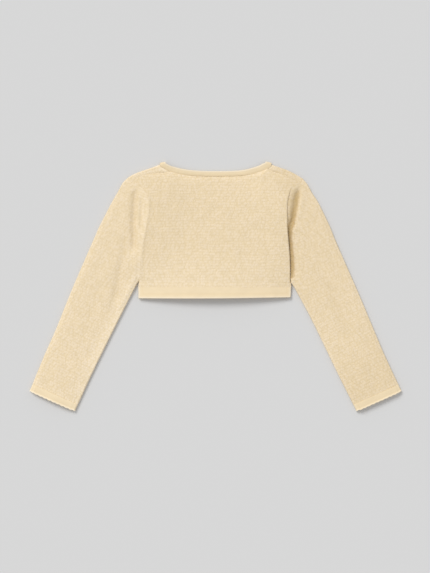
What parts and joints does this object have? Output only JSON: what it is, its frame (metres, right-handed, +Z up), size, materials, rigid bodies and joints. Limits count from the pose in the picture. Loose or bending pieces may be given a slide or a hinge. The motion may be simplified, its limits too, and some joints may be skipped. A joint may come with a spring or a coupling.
{
  "type": "knitted shrug",
  "caption": "Child's cropped long-sleeved knitted shrug with a narrow neckband, laid flat with its back uppermost.",
  "frame": {"origin": "on the surface the garment lies on, below the middle of its whole outline", "axes": "+X towards the wearer's right sleeve, +Y towards the neck, +Z up out of the surface, through the back panel"},
  "size_m": [0.666, 0.45, 0.0147],
  "materials": {
    "looped_knit": "nubby looped fine-gauge knit, cream",
    "band_knit": "smooth knitted band, cream"
  },
  "bodies": {
    "root": {"back": "looped_knit", "front_left": "looped_knit", "front_right": "looped_knit", "sleeve_left": "looped_knit", "sleeve_right": "looped_knit", "cuff_left": "band_knit", "cuff_right": "band_knit", "neckband": "band_knit", "hem_back": "band_knit", "hem_front_left": "band_knit", "hem_front_right": "band_knit"}
  },
  "joints": []
}
